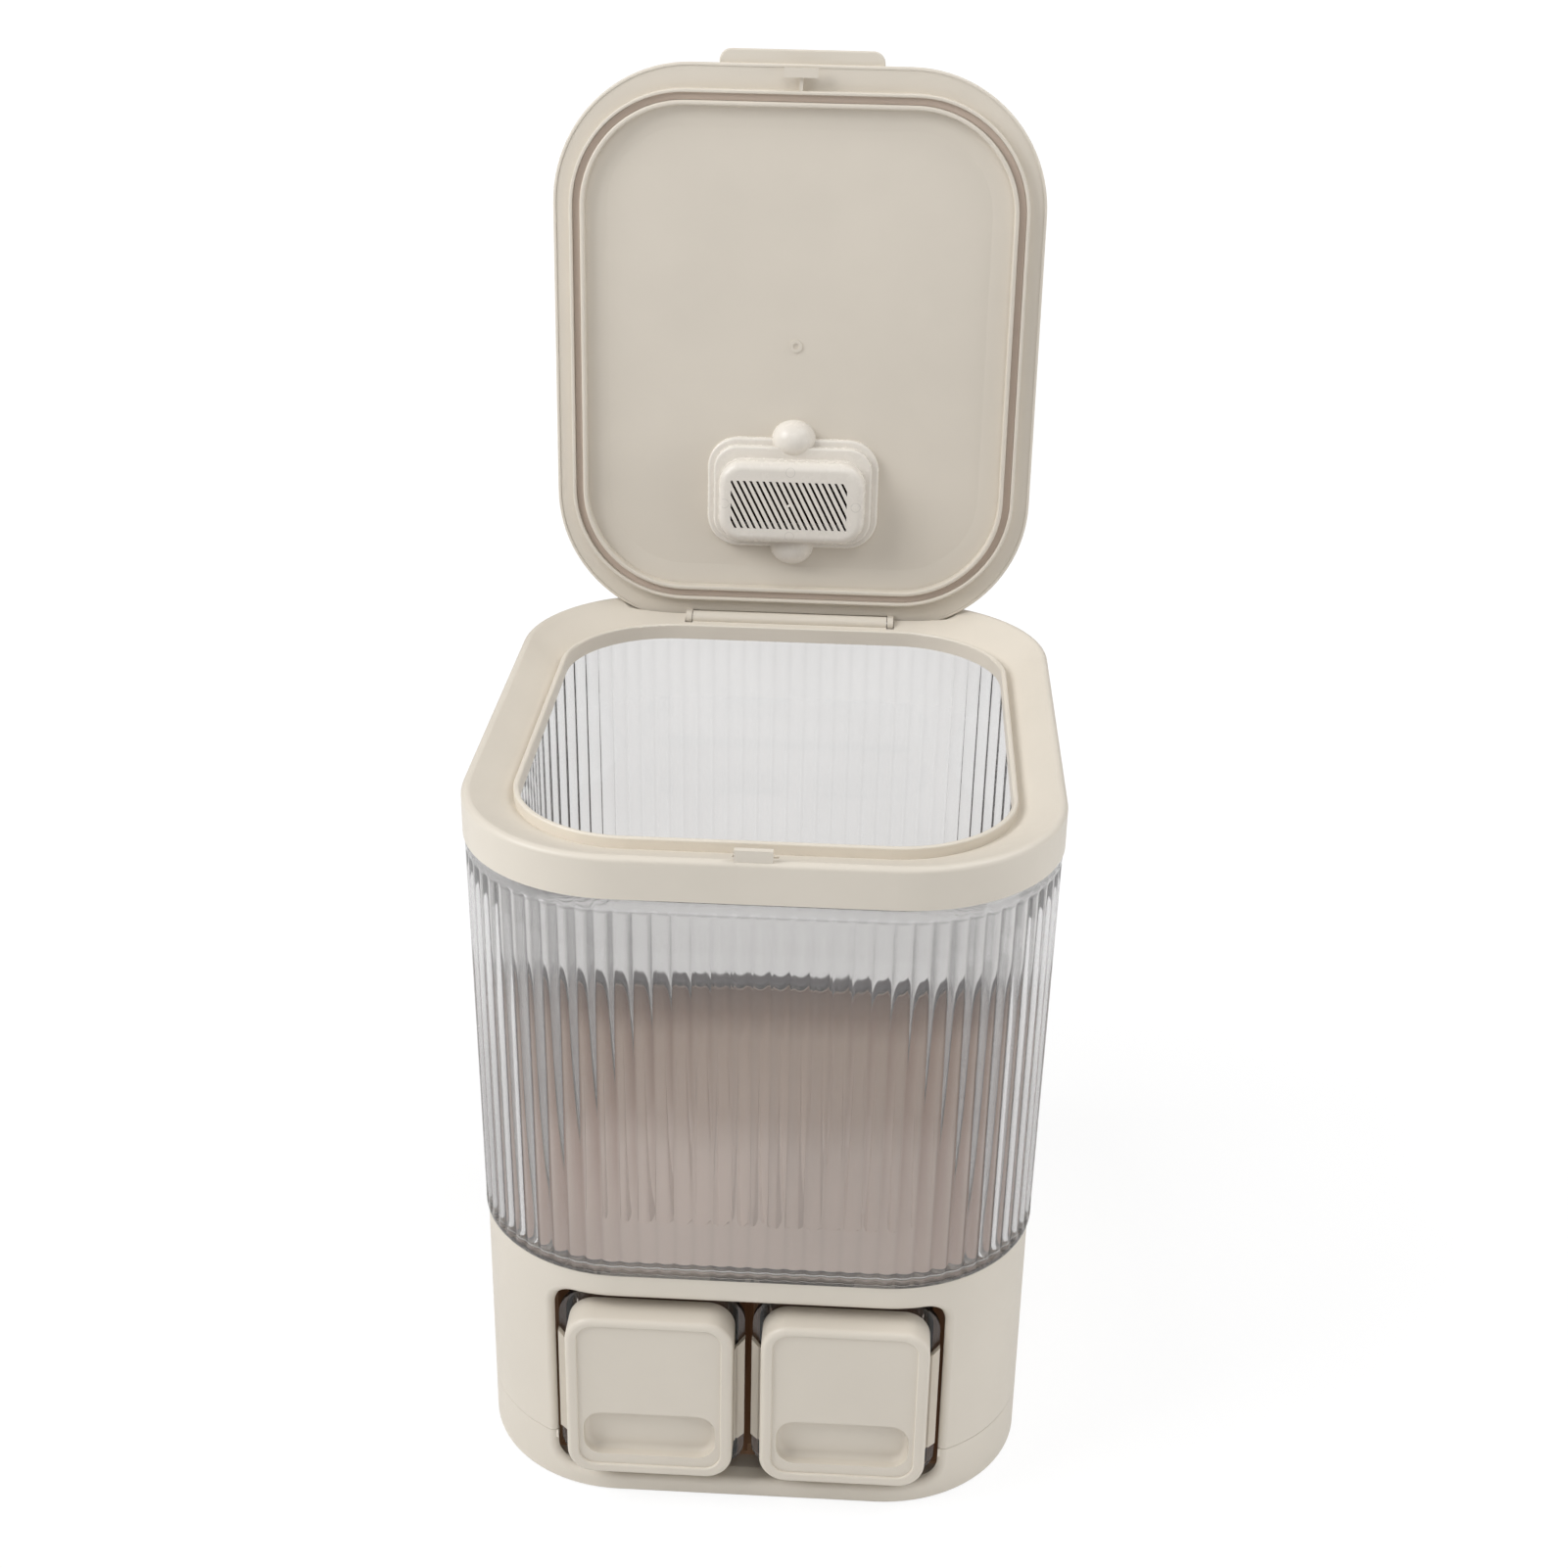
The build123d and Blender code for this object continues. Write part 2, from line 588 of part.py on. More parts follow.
def mouth_cut():
    rear = BASE_FRONT + MOUTH_LINER + OVERCUT
    wide = MOUTH_W / 2 + MOUTH_LINER_T
    corner = BASE_R - math.sqrt(BASE_R**2 - max(wide - BASE_W / 2 + BASE_R, 0)**2)
    return front_slab(MOUTH_W, MOUTH_Z1 - MOUTH_Z0, MOUTH_R, 0, MOUTH_Z0, BASE_FRONT - OVERCUT, rear + corner)


def mouth_liner():
    """Inward sleeve that lines the drawer opening behind the curved front wall."""
    outer = front_slab(MOUTH_W + 2 * MOUTH_LINER_T, MOUTH_Z1 - MOUTH_Z0 + 2 * MOUTH_LINER_T,
                       MOUTH_R + MOUTH_LINER_T, 0, MOUTH_Z0 - MOUTH_LINER_T,
                       BASE_FRONT, BASE_FRONT + MOUTH_LINER)
    return outer & slab(*inset(BASE, BASE_WALL / 2), BASE_BOTTOM_Z, BODY_BOTTOM_Z)


def borders_mouth(edge):
    """True for an edge where the drawer opening meets the outside of the base."""
    for place in (edge @ 0, edge @ 0.5, edge @ 1):
        dx = max(abs(place.X) - (BASE_W / 2 - BASE_R), 0)
        dy = max(-place.Y - (BASE_D / 2 - BASE_R), 0)
        outside = abs(math.hypot(dx, dy) - BASE_R) < EDGE_SEARCH
        if not outside or abs(place.X) > MOUTH_W / 2 + EDGE_SEARCH:
            return False
        if not MOUTH_Z0 - EDGE_SEARCH < place.Z < MOUTH_Z1 + EDGE_SEARCH:
            return False
    return True


def base_skin():
    """Walls, floor and drawer opening of the base before it is parted at the seam."""
    skin = slab(*BASE, BASE_BOTTOM_Z, BODY_BOTTOM_Z)
    skin = fillet(skin.faces().sort_by(Axis.Z)[0].edges(), BASE_FOOT_R)
    skin = fillet(skin.faces().sort_by(Axis.Z)[-1].edges(), BASE_TOP_R)
    skin -= slab(*inset(BASE, BASE_WALL), TRAY_FLOOR_Z, BODY_BOTTOM_Z)
    skin += mouth_liner()
    skin -= mouth_cut()
    return fillet([edge for edge in skin.edges() if borders_mouth(edge)], MOUTH_EDGE_R)


def layer(z0, z1):
    return block(-BASE_W, BASE_W, -BASE_D, BASE_D, z0, z1)


def boss_places():
    inward = BASE_R - (BASE_R - BOSS_FROM_WALL) * math.sqrt(0.5)
    x = BASE_W / 2 - inward
    y = BASE_D / 2 - inward
    return [(x * i, y * j) for i in (-1, 1) for j in (-1, 1)]


def base_shell():
    z0 = SEAM_Z + SEAM_GAP
    shell = base_skin() & layer(z0, BODY_BOTTOM_Z)
    ledge = slab(*inset(BASE, BASE_WALL / 2), LEDGE_Z - LEDGE_T, LEDGE_Z)
    shell += ledge - slab(*inset(BASE, BASE_WALL + LEDGE_IN), LEDGE_Z - LEDGE_T, LEDGE_Z)
    for x, y in boss_places():
        shell += Pos(x, y, (z0 + LEDGE_Z) / 2) * Cylinder(BOSS_R, LEDGE_Z - z0)
        shell -= Pos(x, y, z0 + SCREW_L / 2) * Cylinder(SCREW_R, SCREW_L)
    return shell


def base_tray():
    tray = base_skin() & layer(BASE_BOTTOM_Z, SEAM_Z)
    spigot = inset(BASE, BASE_WALL + SPIGOT_GAP)
    hollow = inset(spigot, SPIGOT_T)
    top = SEAM_Z + SPIGOT_H
    low = SEAM_Z - SPIGOT_H
    ring = slab(*inset(BASE, BASE_WALL / 2), low, SEAM_Z) + slab(*spigot, SEAM_Z - SPIGOT_ROOT, top)
    ring -= slab(*hollow, low, top)
    gate_half = MOUTH_W / 2 + MOUTH_LINER_T + SPIGOT_GAP
    gate_rear = BASE_FRONT + MOUTH_LINER + OVERCUT
    ring -= block(-gate_half, gate_half, BASE_FRONT - OVERCUT, gate_rear, SEAM_Z, top)
    tray += ring - mouth_cut()
    post_top = SEAM_Z + SEAM_GAP
    for x, y in boss_places():
        tray += Pos(x, y, (TRAY_FLOOR_Z + post_top) / 2) * Cylinder(BOSS_R, post_top - TRAY_FLOOR_Z)
        tray -= screw(x, y)
    for x, y in foot_places():
        tray -= Pos(x, y, FOOT_T / 2) * Cylinder(FOOT_R, FOOT_T)
    return tray


def screw(x, y):
    head_z = BASE_BOTTOM_Z + SCREW_HEAD_T
    shank_top = SEAM_Z + SEAM_GAP + SCREW_L
    head = Pos(x, y, (BASE_BOTTOM_Z + head_z) / 2) * Cylinder(SCREW_HEAD_R, SCREW_HEAD_T)
    return head + Pos(x, y, (head_z + shank_top) / 2) * Cylinder(SCREW_R, shank_top - head_z)


def foot_places():
    x = BASE_W / 2 - FOOT_SIDE
    y = BASE_D / 2 - FOOT_END
    return [(x * i, y * j) for i in (-1, 1) for j in (-1, 1)]


def non_slip_feet():
    return Compound(children=[Pos(x, y, FOOT_T / 2) * Cylinder(FOOT_R, FOOT_T) for x, y in foot_places()])


def base_screws():
    return Compound(children=[screw(x, y) for x, y in boss_places()])


def hopper_floor():
    """Floor of the bin: a flange on the ledge and two sloping wells, each ending in a slot at its front."""
    floor = slab(*inset(BASE, BASE_WALL + FLOOR_GAP), LEDGE_Z, FLOOR_TOP_Z)
    for side in (-1, 1):
        floor += well(side, FLOOR_T, 0)
    for side in (-1, 1):
        floor -= well(side, 0, FLOOR_T)
        floor -= Pos(side * OUTLET_X, OUTLET_Y, OUTLET_Z) * extrude(outlet(0), amount=FLOOR_T)
    return floor


def outlet(grow):
    return rounded(OUTLET_W + 2 * grow, OUTLET_D + 2 * grow, OUTLET_R + grow)


def well(side, grow, rise):
    """Tapering space of one well, or of its outside when it is grown by a wall and starts lower."""
    lower = Pos(side * OUTLET_X, OUTLET_Y, OUTLET_Z + rise) * outlet(grow)
    mouth = rounded(2 * (WELL_HALF_W + grow), WELL_D + 2 * grow, WELL_R + grow)
    upper = Pos(side * WELL_X, WELL_FRONT + WELL_D / 2, LEDGE_Z + rise) * mouth
    return loft([lower, upper], ruled=True)


def hopper_seal():
    outer = inset(BASE, BASE_WALL + FLOOR_GAP + SEAL_GAP)
    return slab(*outer, FLOOR_TOP_Z, BODY_BOTTOM_Z) - slab(*inset(outer, SEAL_W), FLOOR_TOP_Z, BODY_BOTTOM_Z)


def drawer_front():
    height = PLATE_Z1 - PLATE_Z0
    plate = front_slab(PLATE_W, height, PLATE_R, DRAWER_X, PLATE_Z0, PLATE_FRONT, WING_BACK)
    plate = fillet(plate.faces().sort_by(Axis.Y)[0].edges(), PLATE_EDGE_R)
    plate -= front_slab(PLATE_W - 2 * PANEL_BORDER, height - PANEL_BORDER - PANEL_TOP_BORDER, PANEL_R,
                        DRAWER_X, PLATE_Z0 + PANEL_BORDER, PLATE_FRONT, PLATE_FRONT + PANEL_DEPTH)
    grasp = front_slab(PLATE_W - 2 * GRASP_SIDE, GRASP_H, GRASP_R, DRAWER_X, PLATE_Z0 + GRASP_RISE,
                       PLATE_FRONT, PLATE_FRONT + GRASP_DEPTH)
    plate -= fillet(grasp.faces().sort_by(Axis.Y)[-1].edges(), GRASP_FLOOR_R)
    border = plate.faces().filter_by(Axis.Y).sort_by(Axis.Y)[0]
    plate = fillet(border.inner_wires()[0].edges(), RECESS_EDGE_R)
    return plate + wing(-1) + wing(1)


def wing(side):
    """Strip beside the plate, cut slantwise at both ends, with a groove along the plate."""
    edge = PLATE_W / 2
    tip = edge + WING_OUT
    z0 = PLATE_Z0 + WING_LOW_GAP
    z1 = PLATE_Z1 - WING_TOP_GAP
    corners = [(edge - WING_T, z0), (edge, z0), (tip, z0 + WING_OUT),
               (tip, z1 + WING_TIP), (edge, z1), (edge - WING_T, z1)]
    outline = Polyline(*[(DRAWER_X + side * x, 0, z) for x, z in corners], close=True)
    strip = extrude(Pos(0, WING_BACK, 0) * make_face(outline), amount=WING_T, dir=(0, -1, 0))
    groove = DRAWER_X + side * (edge + WING_GROOVE_IN)
    return strip - block(groove - WING_GROOVE_W / 2, groove + WING_GROOVE_W / 2,
                         PLATE_BACK, PLATE_BACK + WING_GROOVE_W, z0 - WING_OUT, z1 + WING_OUT)


def drawer_cup():
    flange = front_slab(CUP_FLANGE_W, CUP_FLANGE_Z1 - CUP_FLANGE_Z0, CUP_FLANGE_R, DRAWER_X,
                        CUP_FLANGE_Z0, CUP_FRONT, CUP_BODY_FRONT)
    depth = CUP_REAR_Y - CUP_BODY_FRONT
    middle = (CUP_REAR_Y + CUP_BODY_FRONT) / 2
    height = CUP_TOP_Z - CUP_FLANGE_Z0
    body = Pos(DRAWER_X, middle, CUP_FLANGE_Z0) * extrude(rounded(CUP_W, depth, CUP_R), amount=height)
    body += front_slab(CUP_W, height, CUP_R, DRAWER_X, CUP_FLANGE_Z0, CUP_BODY_FRONT, CUP_BODY_FRONT + CUP_R)
    front_wall = CUP_WALL / 2
    inner_depth = depth - CUP_WALL - front_wall
    inner = extrude(rounded(CUP_W - 2 * CUP_WALL, inner_depth, CUP_R - CUP_WALL), amount=height)
    inner_y = middle + (front_wall - CUP_WALL) / 2
    return flange + body - Pos(DRAWER_X, inner_y, CUP_FLANGE_Z0 + CUP_WALL) * inner


def drawer_shutter():
    """Plate that follows the cup and closes the outlet above while the drawer is out."""
    top = OUTLET_Z - SHUTTER_GAP
    x0 = DRAWER_X - CUP_W / 2
    x1 = DRAWER_X + CUP_W / 2
    plate = block(x0, x1, CUP_REAR_Y, SHUTTER_REAR_Y, top - SHUTTER_T, top)
    return plate + block(x0 + CUP_R, x1 - CUP_R, CUP_REAR_Y, CUP_REAR_Y + SHUTTER_HOOK_T,
                         CUP_TOP_Z - SHUTTER_HOOK_H, top)


def drawer_chassis():
    """Carrier on the base floor: plate, runners under the cups and upright guides beside them."""
    centre_front = BASE_FRONT + CENTRE_WALL_BEHIND_FRONT
    tray_front = BASE_FRONT + CHASSIS_BEHIND_TRAY
    runner_rear = SHUTTER_REAR_Y + RUNNER_BEYOND
    rear = runner_rear + GUIDE_BEYOND
    inside = MOUTH_W / 2 + GUIDE_GAP
    half = inside + GUIDE_T
    half_centre = CENTRE_WALL_T / 2
    top = CUP_TOP_Z - GUIDE_BELOW_CUP_TOP
    chassis = block(-half, half, tray_front, rear, TRAY_FLOOR_Z, TRAY_FLOOR_Z + CHASSIS_PLATE_T)
    chassis += block(-half, -inside, tray_front, rear, TRAY_FLOOR_Z, top)
    chassis += block(inside, half, tray_front, rear, TRAY_FLOOR_Z, top)
    chassis += block(-half_centre, half_centre, centre_front, rear, TRAY_FLOOR_Z, OUTLET_Z - SHUTTER_GAP)
    chassis += block(-half_centre, half_centre, tray_front, rear, TRAY_FLOOR_Z, MOUTH_Z0)
    reach = CUP_W / 2 - RUNNER_INSET
    for middle in (-DRAWER_X - reach, reach - DRAWER_X, DRAWER_X - reach, DRAWER_X + reach):
        chassis += block(middle - RUNNER_W / 2, middle + RUNNER_W / 2, tray_front, runner_rear,
                         TRAY_FLOOR_Z, CUP_FLANGE_Z0 - RUN_GAP)
    return chassis


def save(shape, name):
    solids = shape.solids()
    result = solids[0] if len(solids) == 1 else Compound(children=list(solids))
    export_step(result, f"parts/{name}.step")


def main():
    os.makedirs("parts", exist_ok=True)
    save(base_tray(), "base_tray")
    save(base_shell(), "base_shell")
    save(non_slip_feet(), "non_slip_feet")
    save(base_screws(), "base_screws")
    save(drawer_chassis(), "drawer_chassis")
    save(hopper_floor(), "hopper_floor")
    save(hopper_seal(), "hopper_seal")
    save(bin_body(), "bin_body")
    save(top_ring(), "top_ring")
    save(hinge_pin(), "hinge_pin")
    save(opened(closed_lid_shell()), "lid_shell")
    save(opened(closed_inner_panel()), "lid_inner_panel")
    save(opened(closed_gasket()), "lid_gasket")
    save(opened(closed_desiccant_tray()), "desiccant_tray")
    save(opened(closed_desiccant_cover()), "desiccant_cover")
    for name, piece in (("cup", drawer_cup()), ("front", drawer_front()), ("shutter", drawer_shutter())):
        save(piece, f"drawer_right_{name}")
        save(mirror_x(piece), f"drawer_left_{name}")


main()
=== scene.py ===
import json
import math

import bpy
from mathutils import Matrix, Vector


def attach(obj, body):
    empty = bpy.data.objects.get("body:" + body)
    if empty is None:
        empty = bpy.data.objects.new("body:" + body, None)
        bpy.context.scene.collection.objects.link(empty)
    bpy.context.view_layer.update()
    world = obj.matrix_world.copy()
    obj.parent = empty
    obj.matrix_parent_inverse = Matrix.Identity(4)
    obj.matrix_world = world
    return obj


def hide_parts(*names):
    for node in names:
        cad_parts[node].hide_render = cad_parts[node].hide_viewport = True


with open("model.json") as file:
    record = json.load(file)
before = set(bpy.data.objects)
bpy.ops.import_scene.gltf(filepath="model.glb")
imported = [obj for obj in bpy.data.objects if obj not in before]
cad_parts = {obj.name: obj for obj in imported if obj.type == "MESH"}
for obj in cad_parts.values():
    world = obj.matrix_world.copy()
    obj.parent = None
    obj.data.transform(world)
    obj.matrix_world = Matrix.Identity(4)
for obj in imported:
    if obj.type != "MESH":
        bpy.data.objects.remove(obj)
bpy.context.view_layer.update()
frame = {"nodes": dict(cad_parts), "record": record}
nodes = frame["nodes"]

MM = 0.001
X, Y = (1, 0, 0), (0, 1, 0)

# ---- colours, linear ----
WHITE = (1.0, 1.0, 1.0)
CREAM = (0.74, 0.683, 0.595)
CREAM_PANEL = (0.72, 0.662, 0.575)
CREAM_LIGHT = (0.80, 0.755, 0.69)
# painted shade: the cream of the parts inside the base, darkened to brown for the shade there
CREAM_PAINTED_SHADE = (0.46, 0.31, 0.20)
TAUPE = (0.56, 0.46, 0.385)
# painted shade in the desiccant cover's slots and the hollow behind them
SLOT_PAINTED_SHADE = (0.030, 0.010, 0.003)
RUBBER = (0.09, 0.085, 0.08)
STEEL = (0.62, 0.62, 0.63)
CLEAR = (0.78, 0.775, 0.77)
# painted shade and dark refraction on the clear body, at the foot, grooves and sides
CLEAR_PAINTED_DARK = (0.075, 0.065, 0.068)
CUP_CLEAR = (0.68, 0.63, 0.60)
HAZE = (0.8, 0.79, 0.79)
# painted light: a faint brown glow on the chassis inside the base, not a lamp
PAINTED_GLOW = (0.022, 0.011, 0.0055)

# ---- surfaces ----
NOISE_LOW, NOISE_HIGH = 0.3, 0.7        # most of a noise's values lie between these
CLOUD = (14.0, 3.0)                     # scale and detail of the noises
SPECK = (260.0, 4.0)
GRAIN = (1400.0, 2.0)
CLOUD_SHADE = 0.94
GLOSS_SPREAD = 0.05
GRAIN_HEIGHT = 0.0003
CLEAR_CLOUD = (18.0, 2.0)
CLEAR_SPECK = (40.0, 3.0)
CLEAR_RIPPLE = (55.0, 2.0)
CLEAR_CLOUD_SHADE = 0.96
CLEAR_GLOSS_SPREAD = (0.6, 1.6)
CLEAR_PASSING = 0.97                    # share of the colour that a shadow ray keeps
PLASTIC_IOR = 1.49
RIPPLE_STRENGTH, RIPPLE_HEIGHT = 0.05, 0.0006

# ---- desiccant cover: places on the open lid ----
HINGE = Vector((0, 0.1299, 0.3142))
OPEN = math.radians(92.9)
LID_UP = Vector((0, -math.cos(OPEN), math.sin(OPEN)))
LID_OUT = Vector((0, -math.sin(OPEN), -math.cos(OPEN)))
COVER_UP = HINGE.dot(LID_UP) + 62.8 * MM        # middle of the cover
COVER_FACE = HINGE.dot(LID_OUT) + 12.4 * MM     # outer face of the cover
SLOTS_ACROSS = (-0.0302, 0.0290)
SLOTS_UP = (COVER_UP - 0.0136, COVER_UP + 0.0124)
SLOTS_DEEP = (COVER_FACE - 0.030, COVER_FACE - 0.0004)
PAINT_EDGE = 0.0001
MARKS = ((-0.6, 15.6), (-0.6, -16.0), (-32.4, -0.6), (31.2, -0.6))
MARK_R = 2.2
MARK_LINE = 0.00016
MARK_SHADE = 0.80
MARKED_FACE = (COVER_FACE - 0.0008, COVER_FACE + 0.0008)

# ---- hopper floor: painted shade, deeper from front to back and towards the sides ----
FLOOR_REACH = 0.145
FLOOR_SHADE_STOPS = (
    (0.0, (0.78, 0.65, 0.58)), (0.37, (0.74, 0.61, 0.54)), (0.46, (0.60, 0.465, 0.385)),
    (0.68, (0.53, 0.395, 0.31)), (0.82, (0.31, 0.20, 0.14)), (1.0, (0.18, 0.11, 0.075)),
)
FLOOR_SIDE_FROM, FLOOR_SIDE_TO = 0.045, 0.115
FLOOR_SIDE_SHADE = (0.66, 0.56, 0.52)


# ---- shader nodes ----
def rgba(colour):
    return (*colour, 1)


def scaled(colour, share):
    return tuple(share * part for part in colour)


def node(tree, kind, inputs=None, **settings):
    """New node of a tree. An input is a fixed value or the output of another node."""
    made = tree.nodes.new("ShaderNode" + kind)
    for setting, value in settings.items():
        setattr(made, setting, value)
    for socket, value in (inputs or {}).items():
        if isinstance(value, bpy.types.NodeSocket):
            tree.links.new(value, made.inputs[socket])
        else:
            made.inputs[socket].default_value = value
    return made


def maths(tree, operation, *values, kind="Math"):
    made = node(tree, kind, dict(enumerate(values)), operation=operation)
    return made.outputs["Value"]


def length(tree, vector):
    return maths(tree, "LENGTH", vector, kind="VectorMath")


def along(tree, coords, axis):
    """Distance of a place from the origin along a direction."""
    return maths(tree, "DOT_PRODUCT", coords, axis, kind="VectorMath")


def passage(tree, value, start, stop, low=0.0, high=1.0, kind="LINEAR"):
    """Goes from low to high while the value goes from start to stop."""
    inputs = {"Value": value, "From Min": start, "From Max": stop, "To Min": low, "To Max": high}
    return node(tree, "MapRange", inputs, interpolation_type=kind).outputs["Result"]


def within(tree, coords, axis, low, high):
    """One between two distances along an axis, zero outside, with a narrow change."""
    value = along(tree, coords, axis)
    return maths(tree, "MULTIPLY", passage(tree, value, low, low + PAINT_EDGE),
                 passage(tree, value, high + PAINT_EDGE, high))


def blend(tree, factor, first, second, kind="MIX"):
    """Colour made of two others, each a fixed colour or the output of a node."""
    first, second = (rgba(c) if isinstance(c, tuple) else c for c in (first, second))
    made = node(tree, "Mix", data_type="RGBA", blend_type=kind,
                inputs={"Factor": factor, "A": first, "B": second})
    return made.outputs["Result"]


def noise(tree, coords, scale, detail):
    inputs = {"Vector": coords, "Scale": scale, "Detail": detail}
    return node(tree, "TexNoise", inputs).outputs["Fac"]


def noise_between(tree, coords, scale, detail, low=0.0, high=1.0):
    value = noise(tree, coords, scale, detail)
    return passage(tree, value, NOISE_LOW, NOISE_HIGH, low, high)


def relief_of(tree, height, strength, distance):
    inputs = {"Height": height, "Strength": strength, "Distance": distance}
    return node(tree, "Bump", inputs).outputs["Normal"]


def mix_shaders(tree, factor, first, second):
    return node(tree, "MixShader", {"Fac": factor, 1: first, 2: second}).outputs["Shader"]


# ---- materials ----
def new_material(name):
    """Material with an empty tree, and the place coordinates of the piece that wears it."""
    material = bpy.data.materials.new(name)
    material.use_nodes = True
    tree = material.node_tree
    tree.nodes.clear()
    return material, tree, node(tree, "TexCoord").outputs["Object"]


def moulded(name, colour, rough, relief=0.06, specular=0.5, metallic=0.0, paint=None,
            painted_glow=None):
    """Opaque moulded surface: faint clouds in the colour, uneven gloss and a fine grain.

    The paint lays painted shade over the colour, and the cover's ejector marks. The painted glow
    is emission standing in for light through the thin walls around a piece inside the base.
    """
    material, tree, coords = new_material(name)
    tint = blend(tree, noise_between(tree, coords, *CLOUD), colour, scaled(colour, CLOUD_SHADE))
    if paint:
        tint = paint(tree, coords, tint)
    shader = node(tree, "BsdfPrincipled", {
        "Base Color": tint,
        "Metallic": metallic,
        "Specular IOR Level": specular,
        "Roughness": noise_between(tree, coords, *SPECK, rough - GLOSS_SPREAD,
                                   rough + GLOSS_SPREAD),
        "Normal": relief_of(tree, noise(tree, coords, *GRAIN), relief, GRAIN_HEIGHT),
    })
    # painted light: the glow is emission on a part that is no lamp
    if painted_glow:
        shader.inputs["Emission Color"].default_value = rgba(painted_glow)
        shader.inputs["Emission Strength"].default_value = 1.0
    node(tree, "OutputMaterial", {"Surface": shader.outputs["BSDF"]})
    return material


def clear(name, colour, rough, veil, painted_dark=None):
    """Clear moulded plastic. Shadows pass through it, so what it holds stays lit.

    The veil is a share of pale haze. The dark colour is painted in where a mesh's own
    attribute asks for it, as painted shade and dark refraction on the clear body.
    """
    material, tree, coords = new_material(name)
    tint = blend(tree, noise_between(tree, coords, *CLEAR_CLOUD), colour,
                 scaled(colour, CLEAR_CLOUD_SHADE))
    if painted_dark:
        painted_darkness = node(tree, "Attribute", attribute_name="painted_darkness")
        tint = blend(tree, painted_darkness.outputs["Fac"], tint, painted_dark)
    low, high = CLEAR_GLOSS_SPREAD
    plastic = node(tree, "BsdfPrincipled", {
        "Base Color": tint,
        "IOR": PLASTIC_IOR,
        "Transmission Weight": 1.0,
        "Roughness": noise_between(tree, coords, *CLEAR_SPECK, rough * low, rough * high),
        "Normal": relief_of(tree, noise(tree, coords, *CLEAR_RIPPLE), RIPPLE_STRENGTH,
                            RIPPLE_HEIGHT),
    })
    haze = node(tree, "BsdfDiffuse", {"Color": rgba(HAZE)})
    veiled = mix_shaders(tree, veil, plastic.outputs["BSDF"], haze.outputs["BSDF"])
    passing = node(tree, "BsdfTransparent", {"Color": rgba(scaled(colour, CLEAR_PASSING))})
    path = node(tree, "LightPath").outputs
    let_by = maths(tree, "MAXIMUM", path["Is Shadow Ray"], path["Is Diffuse Ray"])
    surface = mix_shaders(tree, let_by, veiled, passing.outputs["BSDF"])
    node(tree, "OutputMaterial", {"Surface": surface})
    return material


def painted_slot_shade(tree, coords, tint):
    """Painted shade: the walls of the slots and the hollow behind them are painted dark brown."""
    across = within(tree, coords, X, *SLOTS_ACROSS)
    up = within(tree, coords, LID_UP, *SLOTS_UP)
    behind = within(tree, coords, LID_OUT, *SLOTS_DEEP)
    inside = maths(tree, "MULTIPLY", maths(tree, "MULTIPLY", across, up), behind)
    return blend(tree, inside, tint, SLOT_PAINTED_SHADE)


def circle_mark(tree, coords, across, up, radius):
    """One on a thin circle on the lid's inner side, zero elsewhere."""
    flat = node(tree, "CombineXYZ", {
        "X": maths(tree, "SUBTRACT", along(tree, coords, X), across),
        "Y": maths(tree, "SUBTRACT", along(tree, coords, LID_UP), up),
    })
    away = length(tree, flat.outputs["Vector"])
    return maths(tree, "COMPARE", away, radius, MARK_LINE)


def slot_shade_and_marks(tree, coords, tint):
    """Painted shade in the slots, and faint circles left by the mould's ejector pins beside them.
    """
    tint = painted_slot_shade(tree, coords, tint)
    face = within(tree, coords, LID_OUT, *MARKED_FACE)
    for across, up in MARKS:
        circle = circle_mark(tree, coords, across * MM, COVER_UP + up * MM, MARK_R * MM)
        tint = blend(tree, maths(tree, "MULTIPLY", circle, face), tint,
                     scaled(CREAM_LIGHT, MARK_SHADE))
    return tint


def floor_painted_shade(tree, coords, tint):
    """The hopper floor's colour with painted shade: brown and dark at the back and the sides, paler
    in front.
    """
    back = passage(tree, along(tree, coords, Y), -FLOOR_REACH, FLOOR_REACH)
    ramp = node(tree, "ValToRGB", {"Fac": back})
    stops = ramp.color_ramp.elements
    for i, (where, colour) in enumerate(FLOOR_SHADE_STOPS):
        stop = stops[i] if i < len(stops) else stops.new(where)
        stop.position = where
        stop.color = rgba(colour)
    aside = passage(tree, maths(tree, "ABSOLUTE", along(tree, coords, X)), FLOOR_SIDE_FROM,
                    FLOOR_SIDE_TO, kind="SMOOTHSTEP")
    sides = blend(tree, aside, WHITE, FLOOR_SIDE_SHADE)
    shades = blend(tree, 1.0, ramp.outputs["Color"], sides, kind="MULTIPLY")
    return blend(tree, 1.0, shades, tint, kind="MULTIPLY")


